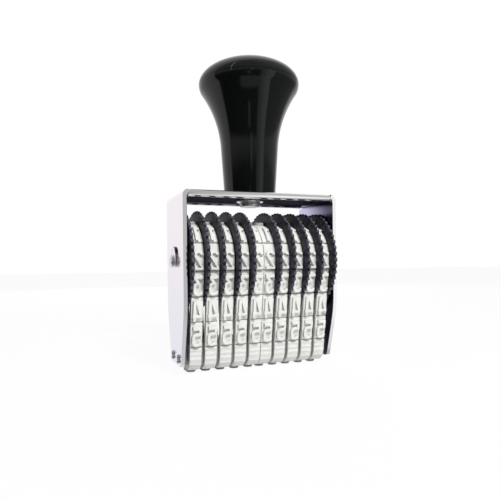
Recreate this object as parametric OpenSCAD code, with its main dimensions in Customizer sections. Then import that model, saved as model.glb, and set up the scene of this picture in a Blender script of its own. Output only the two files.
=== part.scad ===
// Hand numbering stamp: ten rubber type bands on ten thumb wheels in a bent
// steel frame, under a black knob handle. Millimetres, +Z up. The origin is
// under the middle of the stamp, on the plane of the printing type.

/* [Type bands] */
// Width of one rubber band
band_w = 3; // [2.6:0.05:3.1]
// Thickness of the band's plain strap
band_t = 1.1; // [0.9:0.05:1.3]
// Thickness of the block that each figure stands on
pad_t = 0.5; // [0.4:0.05:0.7]
// Height of the raised figures above their block
figure_relief = 0.75; // [0.5:0.05:1]
// Height of a printed figure
figure_h = 5; // [4.6:0.1:5.5]
// Width of a printed figure
figure_w = 2.4; // [2.2:0.05:2.6]
// Width of a figure's stroke
stroke_w = 0.7; // [0.5:0.05:0.9]
// Gap between neighbouring blocks on a band
pad_gap = 0.4; // [0.3:0.05:0.8]

/* [Wheels] */
// Radius of the drum that carries the band
drum_r = 8.1; // [7:0.1:8.6]
// Outer radius of the toothed thumb rim
rim_r = 13.1; // [11.6:0.1:13.4]
// Depth of the rim's teeth
tooth_h = 0.6; // [0.3:0.05:0.8]
// Number of teeth on a rim
tooth_n = 48; // [32:1:56]
// Thickness of the thumb rim
rim_t = 0.72; // [0.6:0.02:1]

/* [Axle] */
// Radius of the axle under the wheels
axle_r = 2.5; // [2.2:0.1:3.2]
// Radius of the axle's turned-down ends
stud_r = 1.6; // [1.5:0.05:2]
// Length of each end beyond its clip
stud_end = 0.7; // [0.5:0.1:1.5]
// Outer radius of the crescent clips
clip_r = 2.65; // [2.5:0.05:3.2]
// Height of a clip's outer circle above the axle
clip_rise = 1.2; // [0.9:0.1:1.2]
// Thickness of a clip
clip_t = 0.4; // [0.3:0.1:0.8]
// Gap between a clip and the frame
clip_gap = 0.05; // [0.05:0.05:0.4]
// Radius of the groove that a clip sits in
groove_r = 1.15; // [1:0.05:1.2]
// Height of the axle above the printing plane
axle_z = 28.5; // [27:0.1:30]
// Thickness of the washer at each end of the wheels
washer_t = 0.3; // [0.15:0.05:0.5]
// Outer radius of that washer
washer_r = 5; // [4:0.1:7]

/* [Frame] */
// Thickness of the frame's sheet
plate_t = 1; // [0.7:0.1:1.2]
// Depth of the frame, front to back
frame_d = 19.8; // [17:0.1:21]
// Height of the frame's top above the axle
bridge_h = 17.5; // [17:0.1:20]
// Height of the cheeks' lower edge above the printing plane
cheek_z = 2.1; // [1.7:0.1:2.5]
// Outer bend radius at the top corners
bend_r = 1.6; // [1.6:0.1:2.5]
// Angle of each cheek's tapered edges, from the vertical
taper_lean = 16.7; // [10:0.1:18]
// Radius of the curve that leads into the taper
taper_r = 25; // [10:1:35]
// Distance below the axle where that curve starts
taper_start = 8.9; // [7:0.1:11]
// Radius of the cheeks' lower corners
corner_r = 1; // [0.6:0.1:2.4]
// Diameter of the rolled lip along the top's long edges
lip_d = 1.8; // [1.6:0.1:2.4]

/* [Platen] */
// Half the flat under the platen, where the type is pressed
foot_half = 2.6; // [2.3:0.1:3]
// Radius of the platen's lower edges
foot_r = 2; // [1.6:0.1:2.4]
// Height of the platen bar
platen_h = 5; // [4:0.1:7]
// Thickness of the fins that part the bands
fin_t = 0.6; // [0.4:0.05:0.7]
// How far the fins stand out of the platen
fin_out = 1; // [0.5:0.1:1.1]
// Width of a riveted tab, two at each end
tab_w = 1.5; // [1:0.1:1.6]
// Height of a riveted tab
tab_h = 2.4; // [2:0.1:2.6]
// Distance of a riveted tab from the platen's middle
tab_y = 3.2; // [2.4:0.1:3.3]
// How far a riveted tab stands out of the frame
tab_out = 0.5; // [0.3:0.1:1]

/* [Handle] */
// Radius of the handle where it meets the frame
neck_r = 6.95; // [6.5:0.05:8]
// Height of the straight neck
neck_h = 13.2; // [10:0.1:16]
// Angle at which the neck widens, from the vertical
neck_angle = 3.7; // [0:0.1:5]
// Angle at which the flare ends, from the vertical
flare_angle = 34.5; // [25:0.5:40]
// Radius of the hollow flare
flare_r = 29.3; // [25:0.1:34]
// Radius of the shoulder under the knob's widest line
shoulder_r = 4; // [3:0.5:9]
// Height of the domed cap
dome_h = 6.4; // [5:0.1:9]
// Wall of the handle
handle_wall = 2; // [1.6:0.1:2.4]
// Radius of the threaded bush in the neck
bush_r = 3.2; // [2.8:0.1:4]
// Length of that bush
bush_len = 11; // [8:0.5:13]
// Radius of the handle's screw
screw_r = 1.95; // [1.5:0.05:2.2]
// Radius of the screw's head
screw_head_r = 2.8; // [2.5:0.1:3.4]
// Height of the screw's head
screw_head_h = 1.3; // [0.9:0.1:1.5]
// Radius of the washer under that head
screw_washer_r = 3.65; // [3.5:0.05:4.5]
// Thickness of the washer under that head
screw_washer_t = 0.6; // [0.4:0.1:0.8]

/* [Hidden] */

$fn = 96;
bands_a_side = 5;

// Clearances
side_play = 0.1;        // along the axle, between one moving piece and the next
turn_play = 0.05;       // round the axle, inside a wheel's bore
band_play = 0.1;        // between a drum or the platen and the band round it
seat_play = 0.03;       // between fixed pieces that fit in each other
merge = 0.02;           // overlap that joins two shapes of one piece

// The wheels stand in two mirrored halves, so the two middle bands are neighbours
drum_w = band_w + side_play;
wheel_pitch = drum_w + rim_t + side_play;
first_x = (drum_w + side_play) / 2;
stack_half = first_x + (bands_a_side - 1) * wheel_pitch + drum_w / 2 + rim_t;
inner_half = stack_half + washer_t + side_play;
outer_half = inner_half + plate_t;
clip_x = outer_half + clip_gap + clip_t / 2;
stud_out = clip_gap + clip_t + stud_end;

// The band's path, through the middle of its strap
top_r = drum_r + band_play + band_t / 2;
low_r = foot_r + band_play + band_t / 2;
low_z = figure_relief + pad_t + band_t + band_play + foot_r;
centre_run = sqrt(pow(foot_half, 2) + pow(axle_z - low_z, 2));
lean = asin((top_r - low_r) / centre_run) - atan(foot_half / (axle_z - low_z));
run_len = sqrt(pow(centre_run, 2) - pow(top_r - low_r, 2));
low_arc = low_r * (90 - lean) * PI / 180;
top_arc = top_r * (90 + lean) * PI / 180;
loop_half = foot_half + low_arc + run_len + top_arc;

// Blocks on a band, counted from the printing place, up the front and down the back
BLOCKS = [6, "", 5, 4, 3, 2, 1, 0, "", "", "", 9, 8, 7];
block_pitch = 2 * loop_half / len(BLOCKS);
block_len = block_pitch - pad_gap;
block_sink = band_t - 0.4;          // how deep a block's root lies in the strap
figure_drop = (block_len - figure_h) / 2 - 0.05; // how far below its block's middle a figure stands
rib_n = 3;                          // ribs across a plain block
rib_w = 0.35;
rib_h = 0.15;
bent_turn = 118;                    // way that a bent figure faces, from straight up
bent_shift = 0.9;                   // how far it lies up the band from that line

// Half the run on the path: [y, z, angle], for a length s from the printing place
function half_path(s) =
    s < foot_half ? [-s, low_z - low_r, 180] :
    s < foot_half + low_arc ?
        let (a = 180 - (s - foot_half) / low_r * 180 / PI)
        [-foot_half - low_r * sin(a), low_z + low_r * cos(a), a] :
    s < foot_half + low_arc + run_len ?
        let (a = 90 + lean, u = s - foot_half - low_arc)
        [-foot_half - low_r * sin(a) + u * cos(a), low_z + low_r * cos(a) + u * sin(a), a] :
        let (a = 90 + lean - (s - loop_half + top_arc) / top_r * 180 / PI)
        [-top_r * sin(a), axle_z + top_r * cos(a), a];
function path(s) = s <= loop_half ? half_path(s) :
    let (p = half_path(2 * loop_half - s)) [-p[0], p[1], -p[2]];

// Frame
bridge_z = axle_z + bridge_h;
bridge_under = bridge_z - plate_t;
taper_centre = frame_d / 2 - taper_r;
taper_run = (axle_z - taper_start - cheek_z - corner_r - (taper_r - corner_r) * sin(taper_lean))
    / cos(taper_lean);
corner_y = taper_centre + (taper_r - corner_r) * cos(taper_lean) - taper_run * sin(taper_lean);

// Platen
platen_under = low_z - foot_r;
tab_z = platen_under + tab_h / 2 + 0.25;
fin_top_step = 0.5;                 // how far the fins and the ends stand above the bar
end_gap_x = stack_half - rim_t + band_play;

// Handle profile: [radius, height above the frame]
flare_start_r = neck_r + neck_h * tan(neck_angle);
flare_end_r = flare_start_r + flare_r * (cos(neck_angle) - cos(flare_angle));
flare_end_h = neck_h + flare_r * (sin(flare_angle) - sin(neck_angle));
knob_r = flare_end_r + shoulder_r * (1 - cos(flare_angle));
knob_h = flare_end_h + shoulder_r * sin(flare_angle);
arc_steps = 10;

function flare_points(w) = [
    for (i = [0:arc_steps])
    let (a = neck_angle + (flare_angle - neck_angle) * i / arc_steps)
    [flare_start_r + flare_r * (cos(neck_angle) - cos(a)) - w,
     neck_h + flare_r * (sin(a) - sin(neck_angle))]
];
function shoulder_points(w) = [
    for (i = [1:arc_steps])
    let (a = flare_angle * (1 - i / arc_steps))
    [flare_end_r + shoulder_r * (cos(a) - cos(flare_angle)) - w,
     flare_end_h + shoulder_r * (sin(flare_angle) - sin(a))]
];
function dome_points(side_w, top_w) = [
    for (i = [0:arc_steps])
    let (a = 90 * i / arc_steps)
    [(knob_r - side_w) * cos(a), knob_h + (dome_h - top_w) * sin(a)]
];
cap_plug_h = 2.4;                   // depth of the cap's plug inside the body
cap_plug_wall = 1.2;
cap_plug_r = knob_r - handle_wall - seat_play
    - (shoulder_r - sqrt(pow(shoulder_r, 2) - pow(cap_plug_h, 2)));
floor_h = max(neck_h, bush_len) + 1; // bottom of the hollow in the knob
edge_soft = 0.4;                    // chamfer round the handle's foot

// Shapes that repeat

module pill(w, h) {
    for (side = [-1, 1]) translate([0, side * (h - w) / 2]) circle(d = w);
    square([w, h - w], center = true);
}

module bowl(h) {
    difference() {
        pill(figure_w, h);
        pill(figure_w - 2 * stroke_w, h - 2 * stroke_w);
    }
}

// A straight stroke between two points
module stroke(a, b) {
    d = b - a;
    n = [-d[1], d[0]] / norm(d) * stroke_w / 2;
    polygon([a + n, a - n, b - n, b + n]);
}

module bar(x, y, w, t = stroke_w) translate([x, y]) square([w, t]);

module stem(x, y, h) translate([x, y]) square([stroke_w, h]);

// One figure, upright and right-reading, centred on the origin
module figure(n) {
    w = figure_w / 2;
    h = figure_h / 2;
    half_bowl = (figure_h + stroke_w) / 2;
    low_bowl = figure_h * 0.68;
    top_bar = stroke_w * 1.2;
    shift = (figure_h - half_bowl) / 2;
    if (n == 0) bowl(figure_h);
    if (n == 1) {
        stem(-stroke_w / 2, -h, figure_h);
        stroke([-w * 0.75, h - stroke_w * 1.9], [0, h - stroke_w / 2]);
    }
    if (n == 2) {
        intersection() {
            translate([0, shift]) bowl(half_bowl);
            translate([-w, h - w]) square([figure_w, w]);
        }
        stroke([w - stroke_w / 2, h - w], [-w + stroke_w / 2, -h + stroke_w / 2]);
        bar(-w, -h, figure_w);
        translate([w - stroke_w / 2, h - w]) circle(d = stroke_w);
    }
    if (n == 3) {
        bar(-w, h - top_bar, figure_w, top_bar);
        stroke([w - stroke_w / 2, h - stroke_w], [0, low_bowl - h - stroke_w / 2]);
        difference() {
            translate([0, (low_bowl - figure_h) / 2]) bowl(low_bowl);
            translate([-w, -h + w]) square([w, figure_h]);
        }
    }
    if (n == 4) {
        stem(w * 0.3, -h, figure_h);
        bar(-w, -h * 0.5, figure_w);
        stroke([w * 0.3 + stroke_w / 2, h - stroke_w / 2], [-w + stroke_w / 2, -h * 0.5 + stroke_w / 2]);
    }
    if (n == 5) {
        bar(-w, h - top_bar, figure_w, top_bar);
        stem(-w, h - low_bowl / 2 - stroke_w, low_bowl / 2 + stroke_w);
        difference() {
            translate([0, (low_bowl - figure_h) / 2]) bowl(low_bowl);
            translate([-w, -h + w]) square([w, low_bowl - figure_w]);
        }
    }
    if (n == 6 || n == 9) rotate(n == 9 ? 180 : 0) {
        translate([0, (low_bowl - figure_h) / 2]) bowl(low_bowl);
        stem(-w, -h + w, figure_h - figure_w);
        intersection() {
            bowl(figure_h);
            translate([-w, h - w]) square([figure_w, w]);
        }
    }
    if (n == 7) intersection() {
        square([figure_w, figure_h], center = true);
        union() {
            bar(-w, h - stroke_w, figure_w);
            stroke([w - stroke_w / 2, h - stroke_w / 2], [-stroke_w / 2, -h - stroke_w]);
        }
    }
    if (n == 8) for (side = [-1, 1]) translate([0, side * shift]) bowl(half_bowl);
}

// Everything within r of the band's path on its inner side, as a plate along X
module loop_plate(grow, w) {
    a = 90 + lean;
    n = [-sin(a), cos(a)];
    top = top_r + grow;
    low = low_r + grow;
    front_top = [0, axle_z] + n * top;
    front_low = [-foot_half, low_z] + n * low;
    rotate([90, 0, 90]) translate([0, 0, -w / 2]) linear_extrude(w) {
        translate([0, axle_z]) circle(top);
        for (side = [-1, 1]) translate([side * foot_half, low_z]) circle(low);
        polygon([
            front_top, front_low, [-foot_half, low_z - low], [foot_half, low_z - low],
            [-front_low[0], front_low[1]], [-front_top[0], front_top[1]]
        ]);
    }
}

// A flat block on the strap: its root is sunk so that it also sits on the drum's curve
module flat_block(n) {
    translate([-band_w / 2, -block_len / 2, band_t / 2 - block_sink])
        cube([band_w, block_len, block_sink + pad_t]);
    if (n == "") {
        for (i = [0:rib_n - 1])
            translate([-band_w / 2, (i + 0.5) * block_len / rib_n - block_len / 2 - rib_w / 2,
                       band_t / 2 + pad_t - merge])
            cube([band_w, rib_w, rib_h + merge]);
    } else {
        translate([0, -figure_drop, band_t / 2 + pad_t - merge])
            linear_extrude(figure_relief + merge) mirror([1, 0, 0]) figure(n);
    }
}

// The two blocks beside the printing place bend round the platen's lower edges
module bent_block(side) {
    low = path(1.5 * block_pitch);
    under = path(0.5 * block_pitch);
    y0 = -under[0] + pad_gap / 2;
    difference() {
        intersection() {
            loop_plate(band_t / 2 + pad_t, band_w);
            translate([-band_w / 2, side > 0 ? y0 : -y0 - frame_d, 0])
                cube([band_w, frame_d, low[1] - pad_gap / 2]);
        }
        loop_plate(0, band_w + 1);
    }
}

// A figure that follows the same bend
module bent_figure(side, n) {
    level = band_t / 2 + pad_t;
    turn = side * bent_turn;
    difference() {
        intersection() {
            loop_plate(level + figure_relief, band_w);
            translate([0, side * foot_half, low_z]) rotate([-turn, 0, 0])
                translate([0, -side * bent_shift, 0])
                linear_extrude(2 * low_r + 2 * level) mirror([1, 0, 0]) figure(n);
        }
        loop_plate(level - merge, band_w + 1);
    }
}

module band(x) color("gainsboro") translate([x, 0, 0]) {
    difference() {
        loop_plate(band_t / 2, band_w);
        loop_plate(-band_t / 2, band_w + 1);
    }
    for (i = [0:len(BLOCKS) - 1]) {
        p = path(i * block_pitch);
        if (i == 1 || i == len(BLOCKS) - 1) {
            bent_block(i == 1 ? -1 : 1);
            if (BLOCKS[i] != "") bent_figure(i == 1 ? -1 : 1, BLOCKS[i]);
        } else {
            translate([0, p[0], p[1]]) rotate([p[2], 0, 0]) flat_block(BLOCKS[i]);
        }
    }
}

// A drum with a toothed thumb rim on its outer side
module wheel(x) color("#262430") translate([x, 0, axle_z]) rotate([0, x > 0 ? 90 : -90, 0])
difference() {
    step = 360 / tooth_n;
    union() {
        translate([0, 0, -drum_w / 2]) cylinder(r = drum_r, h = drum_w + merge);
        translate([0, 0, drum_w / 2]) linear_extrude(rim_t) polygon([
            for (i = [0:tooth_n - 1], k = [[-0.36, 0], [-0.14, 1], [0.14, 1], [0.36, 0]])
            (rim_r - tooth_h + tooth_h * k[1]) * [cos((i + k[0]) * step), sin((i + k[0]) * step)]
        ]);
    }
    translate([0, 0, -drum_w]) cylinder(r = axle_r + turn_play, h = 3 * drum_w);
}

function band_x(i) = i < bands_a_side
    ? -first_x - (bands_a_side - 1 - i) * wheel_pitch
    : first_x + (i - bands_a_side) * wheel_pitch;

module along_x(x, r, h) translate([x, 0, axle_z]) rotate([0, 90, 0]) cylinder(r = r, h = h);

// Sub-parts

module axle() color("silver") {
    along_x(-inner_half, axle_r, 2 * inner_half);
    difference() {
        along_x(-outer_half - stud_out, stud_r, 2 * (outer_half + stud_out));
        for (side = [-1, 1]) difference() {
            along_x(side * clip_x - clip_t / 2 - seat_play, stud_r + 1, clip_t + 2 * seat_play);
            along_x(-outer_half - stud_out, groove_r, 2 * (outer_half + stud_out));
        }
    }
}

// A crescent clip, pushed down onto its groove from above
module axle_clip(side) color("silver") translate([side * clip_x, 0, axle_z])
rotate([90, 0, 90]) linear_extrude(clip_t, center = true) difference() {
    seat = groove_r + seat_play;
    mouth = 1.7 * seat;
    translate([0, clip_rise]) circle(clip_r);
    circle(seat);
    translate([-mouth / 2, -clip_r - 1]) square([mouth, clip_r + 1]);
}

module side_washer(side) color("silver") difference() {
    along_x(side > 0 ? stack_half + side_play / 2 : -stack_half - side_play / 2 - washer_t, washer_r, washer_t);
    along_x(-outer_half, axle_r + turn_play, 2 * outer_half);
}

// Outline of a cheek, seen from the side
function cheek_side() = concat(
    [for (i = [0:arc_steps]) let (a = -taper_lean * i / arc_steps)
        [taper_centre + taper_r * cos(a), axle_z - taper_start + taper_r * sin(a)]],
    [for (i = [0:arc_steps]) let (a = -taper_lean - (90 - taper_lean) * i / arc_steps)
        [corner_y + corner_r * cos(a), cheek_z + corner_r + corner_r * sin(a)]]
);

module cheek_outline() {
    half = cheek_side();
    n = len(half);
    polygon(concat(
        [[frame_d / 2, bridge_z]], half,
        [for (i = [n - 1:-1:0]) [-half[i][0], half[i][1]]], [[-frame_d / 2, bridge_z]]
    ));
}

// Section of the bent sheet, seen from the front
module arch(half, top, r) {
    translate([-half, cheek_z - 1]) square([2 * half, top - r - cheek_z + 1]);
    translate([-half + r, cheek_z]) square([2 * (half - r), top - cheek_z]);
    for (side = [-1, 1]) translate([side * (half - r), top - r]) circle(r);
}

module frame_bracket() color("lavender") difference() {
    union() {
        intersection() {
            rotate([90, 0, 0]) translate([0, 0, -frame_d]) linear_extrude(2 * frame_d) difference() {
                arch(outer_half, bridge_z, bend_r);
                translate([0, -2]) square([2 * inner_half, 4 * cheek_z], center = true);
                arch(inner_half, bridge_under, bend_r - plate_t);
            }
            rotate([90, 0, 90]) translate([0, 0, -outer_half - 1])
                linear_extrude(2 * outer_half + 2) cheek_outline();
        }
        for (side = [-1, 1])
            translate([-inner_half - merge, side * (frame_d - lip_d) / 2, bridge_z - lip_d / 2])
            rotate([0, 90, 0]) cylinder(d = lip_d, h = 2 * inner_half + 2 * merge);
    }
    along_x(-outer_half - 1, stud_r + seat_play, 2 * outer_half + 2);
    rotate([90, 0, 90]) linear_extrude(2 * outer_half + 2, center = true) tabs(seat_play);
    translate([0, 0, bridge_under - 1]) cylinder(r = screw_r + seat_play, h = plate_t + 2);
}

// The bar that backs the type while it prints, with a fin between each two bands
module platen_profile(grow, up) {
    for (side = [-1, 1]) translate([side * foot_half, platen_under + foot_r]) circle(foot_r + grow);
    translate([-foot_half, platen_under - grow]) square([2 * foot_half, foot_r + grow]);
    translate([-foot_half - foot_r - grow, platen_under + foot_r])
        square([2 * (foot_half + foot_r + grow), platen_h - foot_r + up]);
}

// Both riveted tabs, seen from the side
module tabs(grow) {
    for (side = [-1, 1]) translate([side * tab_y, tab_z]) pill(tab_w + 2 * grow, tab_h + 2 * grow);
}

module platen_slice(x, w, grow, up) translate([x - w / 2, 0, 0])
    rotate([90, 0, 90]) linear_extrude(w) platen_profile(grow, up);

module platen() color("darkgray") {
    platen_slice(0, 2 * end_gap_x, 0, 0);
    for (i = [1:bands_a_side - 1], side = [-1, 1])
        platen_slice(side * (first_x + (i - 0.5) * wheel_pitch), fin_t, fin_out, fin_top_step);
    for (side = [-1, 1]) {
        w = inner_half - end_gap_x + merge;
        platen_slice(side * (inner_half - w / 2), w, 0, fin_top_step);
    }
    rotate([90, 0, 90]) linear_extrude(2 * (outer_half + tab_out), center = true) tabs(0);
}

module handle_body() color("#101312") translate([0, 0, bridge_z]) difference() {
    rotate_extrude() polygon(concat(
        [[0, 0], [neck_r - edge_soft, 0], [neck_r + edge_soft * tan(neck_angle), edge_soft]],
        flare_points(0), shoulder_points(0), [[0, knob_h]]
    ));
    rotate_extrude() polygon(concat(
        [[0, floor_h]],
        [for (p = flare_points(handle_wall)) if (p[1] > floor_h) p],
        shoulder_points(handle_wall), [[knob_r - handle_wall, knob_h + 1], [0, knob_h + 1]]
    ));
    translate([0, 0, -1]) cylinder(r = bush_r + seat_play, h = bush_len + 1 + seat_play);
}

module handle_cap() color("#101312") translate([0, 0, bridge_z]) difference() {
    union() {
        rotate_extrude() polygon(concat([[0, knob_h]], dome_points(0, 0)));
        translate([0, 0, knob_h - cap_plug_h])
            cylinder(r = cap_plug_r, h = cap_plug_h + merge);
    }
    rotate_extrude() polygon(concat([[0, knob_h]], dome_points(knob_r - cap_plug_r + cap_plug_wall, handle_wall)));
    translate([0, 0, knob_h - cap_plug_h - 1])
        cylinder(r = cap_plug_r - cap_plug_wall, h = cap_plug_h + 1 + merge);
}

module handle_bush() color("goldenrod") translate([0, 0, bridge_z]) difference() {
    cylinder(r = bush_r, h = bush_len);
    translate([0, 0, -1]) cylinder(r = screw_r + seat_play, h = bush_len + 2);
}

screw_seat_z = bridge_under - screw_washer_t;
slot_w = 0.8;
slot_depth = 0.6;
screw_end_gap = 1;

module handle_screw() color("silver") difference() {
    union() {
        translate([0, 0, screw_seat_z - screw_head_h]) cylinder(r = screw_head_r, h = screw_head_h);
        translate([0, 0, screw_seat_z - merge])
            cylinder(r = screw_r, h = screw_washer_t + plate_t + bush_len - screw_end_gap);
    }
    translate([-screw_head_r - 1, -slot_w / 2, screw_seat_z - screw_head_h - 1])
        cube([2 * screw_head_r + 2, slot_w, slot_depth + 1]);
}

module screw_washer() color("silver") translate([0, 0, screw_seat_z]) difference() {
    cylinder(r = screw_washer_r, h = screw_washer_t);
    translate([0, 0, -1]) cylinder(r = screw_r + seat_play, h = screw_washer_t + 2);
}

frame_bracket();
axle();
axle_clip(-1);  // axle_clip_left
axle_clip(1);  // axle_clip_right
side_washer(-1);  // side_washer_left
side_washer(1);  // side_washer_right
platen();
handle_body();
handle_cap();
handle_bush();
handle_screw();
screw_washer();
wheel(band_x(0));  // wheel_01
wheel(band_x(1));  // wheel_02
wheel(band_x(2));  // wheel_03
wheel(band_x(3));  // wheel_04
wheel(band_x(4));  // wheel_05
wheel(band_x(5));  // wheel_06
wheel(band_x(6));  // wheel_07
wheel(band_x(7));  // wheel_08
wheel(band_x(8));  // wheel_09
wheel(band_x(9));  // wheel_10
band(band_x(0));  // band_01
band(band_x(1));  // band_02
band(band_x(2));  // band_03
band(band_x(3));  // band_04
band(band_x(4));  // band_05
band(band_x(5));  // band_06
band(band_x(6));  // band_07
band(band_x(7));  // band_08
band(band_x(8));  // band_09
band(band_x(9));  // band_10
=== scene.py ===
# %% [markdown]
# A hand numbering stamp. Ten rubber bands carry raised figures, and each band runs over
# a toothed thumb wheel at the top and round a metal platen at the bottom. One bent steel
# bracket holds the axle and the platen, and a turned black knob is screwed on top of it.
#
# The CAD frame gives every place and size. Here each visible piece is modelled again
# with the soft edges, curves and finishes of the real thing. The first lines load it.

# %% Load the frame
import itertools
import math

import bpy
from mathutils import Matrix, Vector


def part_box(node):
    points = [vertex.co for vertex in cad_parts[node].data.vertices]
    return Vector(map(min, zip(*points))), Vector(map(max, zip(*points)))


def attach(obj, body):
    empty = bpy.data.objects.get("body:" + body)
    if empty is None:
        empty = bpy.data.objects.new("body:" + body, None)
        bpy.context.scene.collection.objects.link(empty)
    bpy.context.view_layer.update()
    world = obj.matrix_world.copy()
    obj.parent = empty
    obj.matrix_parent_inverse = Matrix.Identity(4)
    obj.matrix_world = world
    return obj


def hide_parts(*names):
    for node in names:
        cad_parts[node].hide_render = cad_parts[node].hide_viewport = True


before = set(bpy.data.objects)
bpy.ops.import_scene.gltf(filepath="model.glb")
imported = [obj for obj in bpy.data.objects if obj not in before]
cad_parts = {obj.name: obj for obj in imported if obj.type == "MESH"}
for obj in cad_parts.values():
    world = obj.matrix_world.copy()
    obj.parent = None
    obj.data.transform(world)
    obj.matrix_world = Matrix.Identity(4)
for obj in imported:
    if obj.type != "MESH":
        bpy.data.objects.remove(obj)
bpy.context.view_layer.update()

# %% [markdown]
# Blender works in metres and the stamp is made in millimetres, so one small unit is kept
# for all sizes. Sizes that a piece shares with its neighbours are named once, here.
# Those that the frame already knows are read from its nodes, which keeps the two in step.

# %% Shared sizes
MM = 0.001


def place_of(node):
    """Middle and size of a node of the frame."""
    low, high = (Vector(corner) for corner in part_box(node))
    return (low + high) / 2, high - low


def in_mm(lengths):
    return [round(length / MM, 2) for length in lengths]


AXLE_Z = place_of("axle")[0].z
WHEELS = [f"wheel_{number:02d}" for number in range(1, 11)]
BANDS = [f"band_{number:02d}" for number in range(1, 11)]
BAND_X = [place_of(band)[0].x for band in BANDS]
BAND_W = place_of("band_01")[1].x
BRACKET_SIZE = place_of("frame_bracket")[1]
BRIDGE_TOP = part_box("frame_bracket")[1][2]
CHEEK_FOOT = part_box("frame_bracket")[0][2]
SHEET = 1.0 * MM
print("axle height", round(AXLE_Z / MM, 2), "mm, band width", round(BAND_W / MM, 2), "mm")

# %% [markdown]
# The camera comes first, because it decides what is worth modelling finely. It stands a
# little left of the stamp, level with the axle, as someone would hold the stamp up to
# read the figures. A small vertical shift frames the tall knob without tilting the
# camera, so upright edges stay parallel. The camera is rolled by about half a degree.

# %% Camera
VIEW_YAW = math.radians(20.68)
CAMERA_ROLL = math.radians(-0.63)
CAMERA_PLACE = Vector((-46.64, -123.17, 27.95)) * MM

camera_data = bpy.data.cameras.new("camera")
camera_data.sensor_width = 36
camera_data.lens = 34.65
camera_data.shift_x = -0.0003
camera_data.shift_y = 0.0254
camera_data.clip_start = 0.005
camera = bpy.data.objects.new("camera", camera_data)
turn = (Matrix.Rotation(-VIEW_YAW, 3, "Z") @ Matrix.Rotation(math.pi / 2, 3, "X")
        @ Matrix.Rotation(CAMERA_ROLL, 3, "Z"))
camera.location = CAMERA_PLACE
camera.rotation_euler = turn.to_euler()
bpy.context.scene.collection.objects.link(camera)
bpy.context.scene.camera = camera
print("camera at", [round(v / MM, 1) for v in camera.location], "mm")

# %% [markdown]
# Most pieces start in one of three ways. A turned piece is half its outline, drawn as a
# chain of edges and spun round an axis. A cut piece is a closed outline that is filled
# and extruded. A bent piece is an open outline that is extruded into a strip and then
# given a wall. All three need the same first step: a chain of edges through given points.
# It is made as by hand, from one vertex that is extruded again and again.

# %% Tools for every piece
def deselect():
    bpy.ops.object.select_all(action="DESELECT")


def activate(piece):
    deselect()
    piece.select_set(True)
    bpy.context.view_layer.objects.active = piece


def select_all():
    bpy.ops.mesh.select_all(action="SELECT")


def edit_all():
    bpy.ops.object.mode_set(mode="EDIT")
    select_all()


def push_out(step):
    """Extrudes what is selected by the step."""
    bpy.ops.mesh.extrude_region_move(TRANSFORM_OT_translate={"value": step})


def leave_edit():
    bpy.ops.object.mode_set(mode="OBJECT")


def pick(piece, test):
    """Goes into edit mode with only those vertices selected whose place passes the test."""
    bpy.ops.object.mode_set(mode="EDIT")
    bpy.ops.mesh.select_mode(type="VERT")
    bpy.ops.mesh.select_all(action="DESELECT")
    leave_edit()
    for vertex in piece.data.vertices:
        vertex.select = test(vertex.co)
    bpy.ops.object.mode_set(mode="EDIT")


def face_out():
    """Points every normal outwards and leaves edit mode."""
    select_all()
    bpy.ops.mesh.normals_make_consistent(inside=False)
    leave_edit()


def discard(piece):
    bpy.data.objects.remove(piece)


def settle(piece, place=None):
    """Puts the object at the origin, unturned and unscaled, with its place in its mesh."""
    if place is not None:
        piece.matrix_world = place
    activate(piece)
    bpy.ops.object.transform_apply(location=True, rotation=True, scale=True)


def fresh(add, **settings):
    """A new primitive, settled where it was added."""
    deselect()
    add(**settings)
    piece = bpy.context.object
    settle(piece)
    return piece


def tipped(place, angle=math.pi / 2):
    """The place of a piece whose height is tipped over to run along X."""
    return Matrix.Translation(place) @ Matrix.Rotation(angle, 4, "Y")


def chain(name, points):
    """A line of edges through the points."""
    deselect()
    bpy.ops.mesh.primitive_plane_add(size=MM, location=points[0])
    piece = bpy.context.object
    piece.name = name
    bpy.ops.object.mode_set(mode="EDIT")
    bpy.ops.mesh.merge(type="CENTER")
    for here, there in zip(points, points[1:]):
        step = Vector(there) - Vector(here)
        bpy.ops.mesh.extrude_vertices_move(TRANSFORM_OT_translate={"value": step})
    leave_edit()
    settle(piece)
    return piece


def modify(piece, kind, **settings):
    """Adds a modifier with its settings and applies it."""
    activate(piece)
    modifier = piece.modifiers.new(kind.title(), kind)
    for setting, value in settings.items():
        setattr(modifier, setting, value)
    bpy.ops.object.modifier_apply(modifier=modifier.name)


def soften(piece, width, segments=2, angle=35):
    """Rounds every edge sharper than the angle."""
    modify(piece, "BEVEL", width=width, segments=segments, limit_method="ANGLE",
           angle_limit=math.radians(angle), use_clamp_overlap=True, harden_normals=False)


def shade(piece, angle=32):
    activate(piece)
    bpy.ops.object.shade_smooth_by_angle(angle=math.radians(angle))


def join(pieces, name):
    deselect()
    for piece in pieces:
        piece.select_set(True)
    bpy.context.view_layer.objects.active = pieces[0]
    bpy.ops.object.join()
    pieces[0].name = name
    return pieces[0]


def own_copy(piece, name):
    """A copy with its own mesh."""
    copy = piece.copy()
    copy.data = piece.data.copy()
    copy.name = name
    bpy.context.scene.collection.objects.link(copy)
    return copy


def cut_away(piece, cutters, operation="DIFFERENCE"):
    """Takes the cutters' shapes out of the piece, or unites them, then deletes the cutters."""
    for cutter in cutters:
        modify(piece, "BOOLEAN", object=cutter, operation=operation, solver="EXACT")
        discard(cutter)


pieces_by_slot = {}


def finish_piece(piece, body, slot, *nodes):
    """Says what the piece moves with, takes its finish from and stands for."""
    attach(piece, body)
    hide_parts(*nodes)
    pieces_by_slot.setdefault(slot, []).append(piece)
    size = in_mm(piece.dimensions)
    print(piece.name, size, "mm,", len(piece.data.polygons), "faces")


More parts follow.
